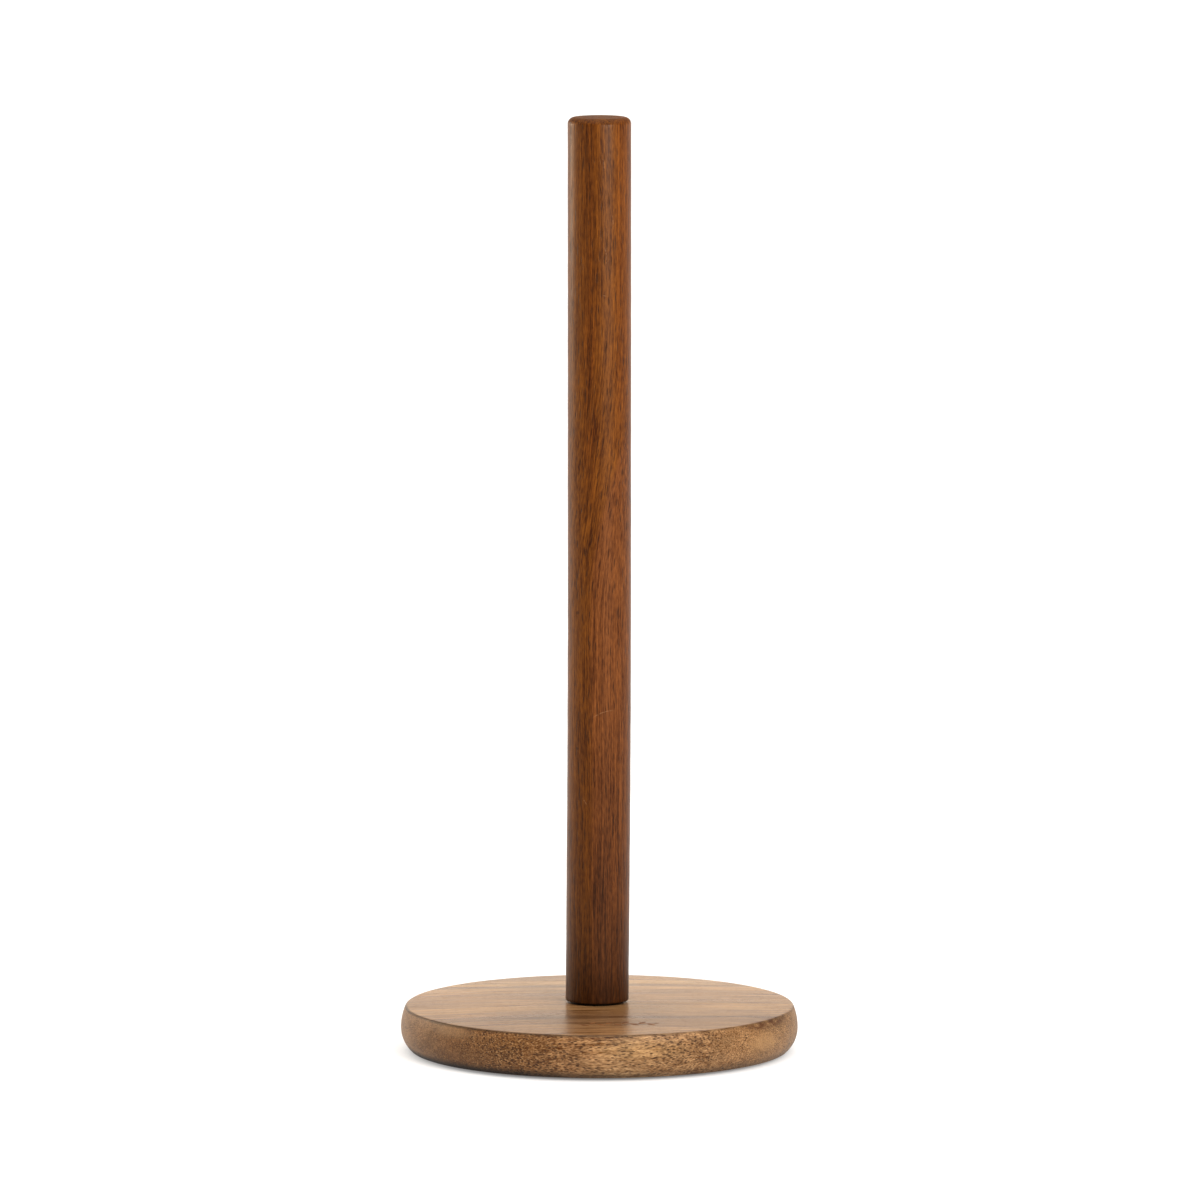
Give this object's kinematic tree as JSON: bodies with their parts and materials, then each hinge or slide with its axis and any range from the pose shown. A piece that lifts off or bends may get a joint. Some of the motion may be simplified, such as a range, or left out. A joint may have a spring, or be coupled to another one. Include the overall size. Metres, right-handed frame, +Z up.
{
  "type": "paper towel holder",
  "caption": "Upright paper towel holder: a low round wooden base with a swelling side and a plain round wooden post that screws down onto a bolt from beneath.",
  "frame": {"origin": "on the table, under the middle of the base", "axes": "+Z up along the post, +Y towards the back, +X to the right"},
  "size_m": [0.14, 0.14, 0.33],
  "materials": {
    "base_wood": "satin lacquered acacia, golden brown with paler and darker bands",
    "post_wood": "satin lacquered acacia, reddish brown with fine dark pores",
    "insert_metal": "turned",
    "bolt_steel": "zinc plated",
    "washer_steel": "zinc plated",
    "spring_steel": "dark oiled",
    "pad": "matt, fine texture"
  },
  "bodies": {
    "stand": {"base": "base_wood", "fixing_bolt": "bolt_steel", "flat_washer": "washer_steel", "spring_washer": "spring_steel", "pad_front_left": "pad", "pad_front_right": "pad", "pad_back_left": "pad", "pad_back_right": "pad"},
    "insert": {"threaded_insert": "insert_metal"},
    "post": {"post": "post_wood"}
  },
  "joints": [
    {"name": "post_rise", "type": "slide", "parent": "stand", "child": "insert", "axis": [0, 0, 1], "range_m": [0, 0.01705]},
    {"name": "post_turn", "type": "hinge", "parent": "insert", "child": "post", "pos_m": [0, 0, 0.0173], "axis": [0, 0, 1], "range_deg": [0, 6120]}
  ],
  "couplings": [
    {"joint": "post_rise", "follows": "post_turn", "m_per_rad": 0.00015915}
  ]
}
